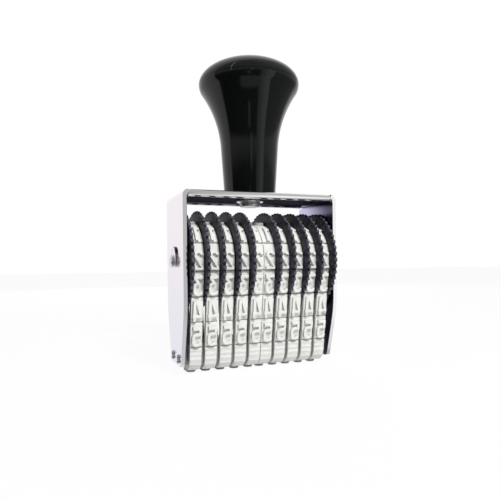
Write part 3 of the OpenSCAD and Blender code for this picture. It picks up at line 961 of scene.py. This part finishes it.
# %% Cuts across the curved parts
low_arc = LOW_R * math.radians(90 - LEAN)
top_arc = TOP_R * math.radians(90 + LEAN)
foot_start = START * PITCH - FOOT_HALF
foot_end = START * PITCH + FOOT_HALF
top_start = foot_end + LOOP / 2 - FOOT_HALF - top_arc
curved_parts = [(foot_start - low_arc, foot_start, 14), (foot_end, foot_end + low_arc, 14),
                (top_start, top_start + 2 * top_arc, 50)]
for start, end, count in curved_parts:
    for step in range(count + 1):
        cut_across(start + (end - start) * step / count)
relief = flat_band.data.attributes.new("relief", "FLOAT", "POINT")
for vertex, level in zip(flat_band.data.vertices, relief.data):
    level.value = min(max((vertex.co.y - PAD_TOP) / RELIEF, -1), 1)
print("band cut to", len(flat_band.data.polygons), "faces")

# %% [markdown]
# The Curve modifier begins the band where the curve begins. So the loop is opened at the
# groove on the back run, and the curve is drawn from there all the way round.

# %% Bend the band round its loop
start_run = LOOP / 2 - START * PITCH
walked = 0
for place, length in enumerate(loop_lengths):
    if walked + length > start_run:
        break
    walked += length
share = (start_run - walked) / loop_lengths[place]
here, there = loop[place], loop[place + 1]
start_point = (here[0] + (there[0] - here[0]) * share, here[1] + (there[1] - here[1]) * share)
route = [start_point] + loop[place + 1:] + loop[1:place + 1] + [start_point]

loop_data = bpy.data.curves.new("loop", "CURVE")
loop_data.dimensions = "2D"
spline = loop_data.splines.new("POLY")
spline.points.add(len(route) - 1)
for point, (y, z) in zip(spline.points, route):
    point.co = (y, z, 0, 1)
loop_curve = bpy.data.objects.new("loop", loop_data)
bpy.context.scene.collection.objects.link(loop_curve)
bpy.context.view_layer.update()
modify(flat_band, "CURVE", object=loop_curve, deform_axis="POS_X")
discard(loop_curve)
settle(flat_band, Matrix(((0, 0, 1, 0), (1, 0, 0, 0), (0, 1, 0, 0), (0, 0, 0, 1))))
edit_all()
bpy.ops.mesh.remove_doubles(threshold=0.004 * MM)
leave_edit()
shade(flat_band, 30)
low_corner = min(vertex.co.z for vertex in flat_band.data.vertices)
print("the band's lowest point is", round(low_corner / MM, 4), "mm above the printing plane")
for node, x in zip(BANDS, BAND_X):
    band = own_copy(flat_band, f"rubber_{node}")
    band.location = (x, 0, 0)
    settle(band)
    finish_piece(band, "stamp", "type_rubber", node)
discard(flat_band)

# %% [markdown]
# The finishes come next. A finish is a small network of shader nodes. Written out node by
# node it is long, so one class wraps a socket, and plain sums on it add the Math nodes.
# The Finish class holds one material: node() adds any node, with its settings first and
# then the values or links of its sockets.

# %% Shader sums and finishes
class Level:
    """A value in a shader that can be added, multiplied and compared."""

    def __init__(self, finish, socket):
        self.finish = finish
        self.socket = socket

    def sum(self, operation, *terms):
        inputs = dict(enumerate(terms))
        return self.finish.node("ShaderNodeMath", {"operation": operation}, inputs)

    def __add__(self, other):
        return self.sum("ADD", self, other)

    def __sub__(self, other):
        return self.sum("SUBTRACT", self, other)

    def __rsub__(self, other):
        return self.sum("SUBTRACT", other, self)

    def __mul__(self, other):
        return self.sum("MULTIPLY", self, other)

    def __truediv__(self, other):
        return self.sum("DIVIDE", self, other)

    def __pow__(self, other):
        return self.sum("POWER", self, other)

    __radd__ = __add__
    __rmul__ = __mul__

    def most(self, other):
        return self.sum("MAXIMUM", self, other)

    def size(self):
        return self.sum("ABSOLUTE", self)

    def fade(self, start, end):
        """Smooth from 0 at start to 1 at end."""
        settings = {"interpolation_type": "SMOOTHSTEP"}
        inputs = {"Value": self, "From Min": start, "From Max": end}
        return self.finish.node("ShaderNodeMapRange", settings, inputs)


class Finish:
    """The nodes of one material, or of the world."""

    def __init__(self, name, owner=None):
        self.owner = owner or bpy.data.materials.new(name)
        self.owner.use_nodes = True
        self.tree = self.owner.node_tree
        self.tree.nodes.clear()

    def node(self, kind, settings=None, inputs=None, out=0):
        made = self.tree.nodes.new(kind)
        for setting, value in (settings or {}).items():
            setattr(made, setting, value)
        for name, value in (inputs or {}).items():
            if isinstance(value, Level):
                self.tree.links.new(value.socket, made.inputs[name])
            else:
                made.inputs[name].default_value = value
        return Level(self, made.outputs[out]) if made.outputs else None

    def place(self):
        return self.node("ShaderNodeTexCoord", out="Object")

    def parts(self):
        """The place's X, Y and Z: across the stamp, front to rear, and height."""
        split = self.node("ShaderNodeSeparateXYZ", inputs={0: self.place()}).socket.node
        return [Level(self, split.outputs[axis]) for axis in range(3)]

    def attribute(self, name):
        """A number stored on the mesh."""
        return self.node("ShaderNodeAttribute", {"attribute_name": name}, out="Fac")

    def rays(self, *kinds):
        """1 for a ray of these kinds, such as Is Camera Ray."""
        paths = self.node("ShaderNodeLightPath").socket.node
        return [Level(self, paths.outputs[f"Is {kind} Ray"]) for kind in kinds]

    def noise(self, scale, detail=3, stretch=(1, 1, 1), rough=0.5):
        """Noise from 0 to 1, with this many lumps to a metre."""
        vector = self.node("ShaderNodeVectorMath", {"operation": "MULTIPLY"},
                           {0: self.place(), 1: stretch})
        inputs = {"Vector": vector, "Scale": scale, "Detail": detail, "Roughness": rough}
        return self.node("ShaderNodeTexNoise", None, inputs)

    def blend(self, share, first, second):
        """Mixes two colours."""
        pair = [c if isinstance(c, Level) else (*c, 1) for c in (first, second)]
        inputs = {0: share, 6: pair[0], 7: pair[1]}
        return self.node("ShaderNodeMix", {"data_type": "RGBA"}, inputs, out=2)

    def bump(self, height, depth, strength=1.0):
        """A normal for a height from 0 to 1 that is this deep."""
        inputs = {"Height": height, "Distance": depth, "Strength": strength}
        return self.node("ShaderNodeBump", None, inputs)

    def shader(self, **inputs):
        """A Principled shader with the given inputs."""
        named = {name.replace("_", " "): value for name, value in inputs.items()}
        return self.node("ShaderNodeBsdfPrincipled", None, named)

    def close(self, shader):
        self.node("ShaderNodeOutputMaterial", None, {"Surface": shader})

    def surface(self, **inputs):
        """Closes the material with one Principled shader."""
        self.close(self.shader(**inputs))


def from_axle(depth, height):
    """Distance to the axle's line."""
    return (depth * depth + (height - AXLE_Z) * (height - AXLE_Z)) ** 0.5


# %% [markdown]
# The knob is moulded in black plastic and polished. What makes it look real is in the
# gloss: a faint haze where hands rub it, and fine dust and hairlines that are only seen
# in a reflection. So the colour hardly changes and the roughness does.

# %% Black handle plastic
plastic = Finish("handle_plastic")
haze = plastic.noise(160, detail=4).fade(0.35, 0.75)
flow = plastic.noise(60, detail=2, stretch=(1, 1, 0.25))
hairlines = plastic.noise(2600, detail=1, stretch=(1, 1, 0.08)).fade(0.62, 0.8)
black = plastic.blend(flow, (0.0025, 0.0032, 0.003), (0.0045, 0.0055, 0.005))
plastic.surface(
    Base_Color=black, Roughness=0.05 + haze * 0.05 + hairlines * 0.05,
    IOR=1.45, Specular_IOR_Level=0.36, Normal=plastic.bump(flow, 0.03 * MM, 0.4))

# %% [markdown]
# Nickel plating is bright, with a lilac cast on the broad faces of the cheeks and neutral
# edges. On these faces the colour is painted lighter towards the top as a painted reflection,
# mixed with random clouds. The strip was polished along its length before plating, which
# leaves very fine upright lines. The bath hardly reaches the inside of the bend, so the metal
# is duller there. The colour inside is a painted reflection of the dark wheels that darkens
# towards the front, and under the bridge it is nearly black painted shade, where a second
# shader without gloss is mixed in: a metal would still shine at such a flat angle.

# %% Nickel plate
nickel = Finish("nickel_plate")
across, depth, height = nickel.parts()
SKIN, SKIN_END = 0.02 * MM, 0.12 * MM
within = 1 - across.size().fade(INNER_X + SKIN, INNER_X + SKIN_END)
below = 1 - height.fade(BRIDGE_TOP - SHEET + SKIN, BRIDGE_TOP - SHEET + SKIN_END)
lip_depth = depth.size().fade(ROLL_Y - ROLL_R, ROLL_Y - ROLL_R / 2)
lip_part = lip_depth * height.fade(BRIDGE_TOP - 2.2 * MM, BRIDGE_TOP - 1.9 * MM)
inside = within * below * (1 - lip_part)
clouds = nickel.noise(90, detail=3)
polish = nickel.noise(2400, detail=2, stretch=(1, 1, 0.03))
# Painted reflection: the cheek faces are painted lighter towards the top, mixed with random clouds.
painted_reflection_and_clouds = (height / BRIDGE_TOP + clouds * 0.3 - 0.15).fade(0.05, 0.95)
face_colour = nickel.blend(painted_reflection_and_clouds, (0.79, 0.74, 0.86), (0.90, 0.84, 0.88))
on_face = across.size().fade(OUTER_X - SKIN_END, OUTER_X - SKIN)
plate_colour = nickel.blend(on_face, (0.88, 0.89, 0.885), face_colour)
to_front = 1 - (depth / DEPTH + 0.5).fade(0.05, 0.95)
# Painted reflection of the dark wheels inside the bracket, darker towards the front.
painted_reflection_inner_colour = nickel.blend(to_front, (0.60, 0.56, 0.78), (0.10, 0.085, 0.15))
plated = nickel.shader(
    Base_Color=nickel.blend(inside, plate_colour, painted_reflection_inner_colour), Metallic=1.0,
    Roughness=0.05 + clouds * 0.05 + polish * 0.03 + inside * 0.15,
    Normal=nickel.bump(polish, 0.004 * MM, 0.5))
# Painted shade: a dark shader without gloss, mixed in under the bridge.
painted_shade_shader = nickel.shader(Base_Color=(0.018, 0.016, 0.030, 1), Roughness=0.6, Specular_IOR_Level=0.0)
painted_shade_under_bridge = inside * (height - depth * 0.1).fade(BRIDGE_TOP - 2.3 * MM, BRIDGE_TOP - 1.6 * MM)
nickel.close(nickel.node("ShaderNodeMixShader", None, {0: painted_shade_under_bridge * 0.97, 1: plated, 2: painted_shade_shader}))

# %% [markdown]
# The axle, the washers and the screw are turned steel. A lathe leaves fine rings round
# the axis, so the pattern is made from the distance to the axle's line.

# %% Turned steel
steel = Finish("bright_steel")
across, depth, height = steel.parts()
radius = from_axle(depth, height)
rings = steel.node("ShaderNodeMath", {"operation": "SINE"}, {0: radius * 30000}) * 0.5 + 0.5
stain = steel.noise(500, detail=4)
steel.surface(
    Base_Color=steel.blend(stain, (0.66, 0.65, 0.68), (0.80, 0.79, 0.81)), Metallic=0.75,
    Roughness=0.16 + stain * 0.12 + rings * 0.05, Normal=steel.bump(rings, 0.004 * MM, 0.4))

# %% [markdown]
# The clips are stamped from bright strip. Their cut edges are duller, and round the crown
# these edges are painted nearly black as painted shadow.

# %% Spring steel
spring = Finish("spring_steel")
across, depth, height = spring.parts()
# Painted shadow: the cut edges round the clip's crown are painted nearly black.
painted_shadow_crown = height.fade(AXLE_Z + 1.4 * MM, AXLE_Z + 2.6 * MM)
edge_and_painted_shadow_colour = spring.blend(painted_shadow_crown, (0.48, 0.47, 0.51), (0.02, 0.02, 0.035))
cut_edge = spring.attribute("cut_edge").fade(0.2, 0.6)
rubbed = spring.noise(900, detail=3)
bright = spring.blend(rubbed, (0.74, 0.72, 0.76), (0.84, 0.82, 0.85))
spring.surface(
    Base_Color=spring.blend(cut_edge, bright, edge_and_painted_shadow_colour), Metallic=1 - cut_edge * 0.85,
    Roughness=0.10 + rubbed * 0.08, Normal=spring.bump(spring.noise(4000, detail=2), 0.006 * MM, 0.3))

# %% [markdown]
# The platen is cast in zinc. The skin of a casting is satin and slightly grainy, with
# patches of a darker lilac grey. The riveting punch has left the staked heads brighter.

# %% Zinc casting
zinc = Finish("zinc_casting")
across, depth, height = zinc.parts()
grain = zinc.noise(3200, detail=3)
patina = zinc.noise(220, detail=4).fade(0.3, 0.7)
zinc_colour = zinc.blend(patina, (0.40, 0.38, 0.44), (0.55, 0.53, 0.58))
staked = across.size().fade(OUTER_X + 0.02 * MM, OUTER_X + 0.1 * MM)
zinc.surface(
    Base_Color=zinc.blend(staked, zinc_colour, (0.82, 0.80, 0.88)), Metallic=0.85,
    Roughness=0.38 + grain * 0.14 - staked * 0.33, Normal=zinc.bump(grain, 0.02 * MM, 0.5))

# %% [markdown]
# The bush inside the handle's neck isn't seen, so the CAD's own piece stays and is only
# given a finish: turned brass, a little tarnished.

# %% Brass bush
brass = Finish("brass_insert")
tarnish = brass.noise(700, detail=4)
brass_colour = brass.blend(tarnish, (0.50, 0.35, 0.13), (0.72, 0.55, 0.26))
brass.surface(Base_Color=brass_colour, Metallic=1.0, Roughness=0.22 + tarnish * 0.15)

# %% [markdown]
# The thumb wheels are moulded in a black plastic with a violet cast, and their discs hold
# patches of fine dust. Thumbs polish the crests of the teeth, so these have a thin gloss,
# and the crests are also painted lighter as a painted glint.

# %% Wheel plastic
wheel_finish = Finish("wheel_plastic")
across, depth, height = wheel_finish.parts()
radius = from_axle(depth, height)
crest = radius.fade(RIM_R - 0.42 * MM, RIM_R - 0.10 * MM)
dust = wheel_finish.noise(650, detail=4).fade(0.42, 0.75)
violet_black = wheel_finish.blend(dust, (0.012, 0.010, 0.020), (0.11, 0.098, 0.135))
# Painted glint: the crests of the teeth are painted lighter; the coat on them is real gloss.
wheel_and_painted_glint_colour = wheel_finish.blend(crest, violet_black, (0.09, 0.082, 0.112))
wheel_finish.surface(
    Base_Color=wheel_and_painted_glint_colour, Roughness=0.42 + dust * 0.15, Specular_IOR_Level=0.12,
    Coat_Weight=crest * 0.7, Coat_Roughness=0.16,
    Normal=wheel_finish.bump(wheel_finish.noise(2500, detail=2), 0.01 * MM, 0.3))

# %% [markdown]
# The bands are off-white rubber, matt and a little mottled from the mould. The height
# stored on each vertex paints shade: the grooves round the figures are painted a little
# darker than the faces, and the figures' sloping walls much darker, as painted shade.

# %% Type rubber
rubber = Finish("type_rubber")
level = rubber.attribute("relief")
mottle = rubber.noise(420, detail=4)
speck = rubber.noise(5200, detail=2)
painted_shade_low_colour = rubber.blend(mottle, (0.68, 0.675, 0.645), (0.75, 0.745, 0.72))
high_colour = rubber.blend(mottle, (0.76, 0.76, 0.73), (0.82, 0.82, 0.79))
# Painted shade: the rubber below the pad tops is painted darker.
painted_shade_height = level.fade(-0.7, 0.3)
# Painted shade: the figures' sloping walls are painted darker.
painted_shade_wall = level.fade(0.02, 0.25) * (1 - level.fade(0.6, 0.9))
face_and_painted_shade = rubber.blend(painted_shade_height, painted_shade_low_colour, high_colour)
rubber.surface(
    Base_Color=rubber.blend(painted_shade_wall * 0.5, face_and_painted_shade, (0.33, 0.33, 0.32)),
    Roughness=0.52 + mottle * 0.16, Specular_IOR_Level=0.4,
    Normal=rubber.bump(speck * 0.6 + mottle * 0.4, 0.03 * MM, 0.6))

# %% [markdown]
# Each piece now gets the finish of its slot, in one loop.

# %% Dress the pieces
finishes = {
    "handle_plastic": plastic, "nickel_plate": nickel, "bright_steel": steel,
    "spring_steel": spring, "zinc_casting": zinc, "wheel_plastic": wheel_finish,
    "type_rubber": rubber}
for slot, finish in finishes.items():
    for piece in pieces_by_slot[slot]:
        piece.data.materials.clear()
        piece.data.materials.append(finish.owner)
bush = bpy.data.objects["handle_bush"]
for bush_slot in bush.material_slots:
    bush_slot.material = brass.owner
print({slot: len(pieces) for slot, pieces in pieces_by_slot.items()})

# %% [markdown]
# The light is plain and soft: a pale world for fill, one lamp in front and above, and a
# weak one low behind for views from the rear. Polished metal and gloss plastic show what
# surrounds them, so the world has a second face for reflections only. It is a studio with
# a white backdrop behind and to the sides, a pale ceiling, and a dim room where the viewer
# stands. A window, a strip lamp and a narrow streak give the handle its highlights. Each
# of them is cut out of the direction of view by smooth fades.

# %% World and lamps
world = bpy.data.worlds.new("studio")
bpy.context.scene.world = world
studio = Finish("studio", world)
FRONT = (-math.sin(VIEW_YAW), -math.cos(VIEW_YAW), 0)
SIDE = (math.cos(VIEW_YAW), -math.sin(VIEW_YAW), 0)
direction = studio.node("ShaderNodeTexCoord", out="Generated")


def towards(axis):
    """How far a direction points along the axis, from -1 to 1."""
    return studio.node("ShaderNodeVectorMath", {"operation": "DOT_PRODUCT"},
                       {0: direction, 1: axis}, out="Value")


front, side_way, up = towards(FRONT), towards(SIDE), towards((0, 0, 1))
azimuth = side_way.sum("ARCTAN2", side_way, front)


def from_to(start, end):
    """Fades with the azimuth, in degrees to the viewer's right of the line to the viewer."""
    return azimuth.fade(math.radians(start), math.radians(end))


white_left = 1 - from_to(-83, -76)
white_right = from_to(122, 142)
ceiling = up.fade(-0.02, 0.12) * (0.38 + from_to(10, 80) * 0.15)
table = (1 - up.fade(-0.66, -0.60)) * from_to(-30, -16) * 0.40
right_wall = from_to(15, 70) * 0.26
window_edges = from_to(26, 30) * (1 - from_to(58, 62)) * (1 - up.fade(0.16, 0.20))
window = window_edges * (0.50 + from_to(32, 50) * 0.5)
backdrop = white_left.most(white_right) * 0.95
off_strip = (side_way * 0.81 + front * 0.59 + up * 0.12).size()
strip = 1 - off_strip.fade(0.012, 0.035)
strip_lamp = strip * front.fade(0.1, 0.3) * up.fade(0.10, 0.25) * 2.4
streak = 1 - (azimuth - 0.14).size().fade(0.02, 0.09)
streak = streak * (1 - up.fade(0.22, 0.35)) * up.fade(-0.05, 0.05) * 0.75
doorway = 1 - (azimuth - 0.02).size().fade(0.03, 0.09)
doorway = doorway * (1 - up.fade(-0.12, -0.08)) * up.fade(-0.5, -0.42) * 0.40
room = ceiling.most(table).most(right_wall.most(doorway)) + 0.03
seen_in_gloss = backdrop.most(room.most(strip_lamp)).most(window.most(streak))
is_camera, is_glossy, is_through = studio.rays("Camera", "Glossy", "Transmission")
is_sharp = is_glossy.most(is_through)
FILL = 0.15
strength = is_camera.most(is_sharp * seen_in_gloss + (1 - is_sharp) * FILL)
background = studio.node("ShaderNodeBackground", None, {"Color": (1, 1, 1, 1), "Strength": strength})
studio.node("ShaderNodeOutputWorld", None, {"Surface": background})


def lamp(name, place, size, watts):
    data = bpy.data.lights.new(name, "AREA")
    data.shape = "RECTANGLE"
    data.size, data.size_y = size
    data.energy = watts
    made = bpy.data.objects.new(name, data)
    made.location = place
    aim = Vector((0, 0, 35 * MM)) - made.location
    made.rotation_euler = aim.to_track_quat("-Z", "Y").to_euler()
    bpy.context.scene.collection.objects.link(made)
    made.visible_glossy = False
    return made


lamp("key_lamp", Vector((0.05, -0.33, 0.34)), (0.08, 0.08), 2.05)
lamp("rear_lamp", Vector((0.10, 0.42, 0.14)), (0.30, 0.20), 1.1)

# %% [markdown]
# The stamp stands on a plain white floor. The floor takes the stamp's shadow, and for
# the camera it is lifted nearly to the white of the backdrop, so that hardly any horizon
# shows.

# %% Floor
floor = fresh(bpy.ops.mesh.primitive_plane_add, size=3, location=(0, 0, -0.02 * MM))
floor.name = "floor"
paper = Finish("floor")
FLOOR_LIFT = 0.95
flat_white = paper.node("ShaderNodeEmission", None, {"Color": (1, 1, 1, 1), "Strength": 1.0})
matt_white = paper.node("ShaderNodeBsdfDiffuse", None, {"Color": (0.9, 0.9, 0.9, 1)})
lift = paper.rays("Camera")[0] * FLOOR_LIFT
paper.close(paper.node("ShaderNodeMixShader", None, {0: lift, 1: matt_white, 2: flat_white}))
floor.data.materials.append(paper.owner)
floor.visible_glossy = False

# %% View transform
bpy.context.scene.view_settings.view_transform = "Standard"
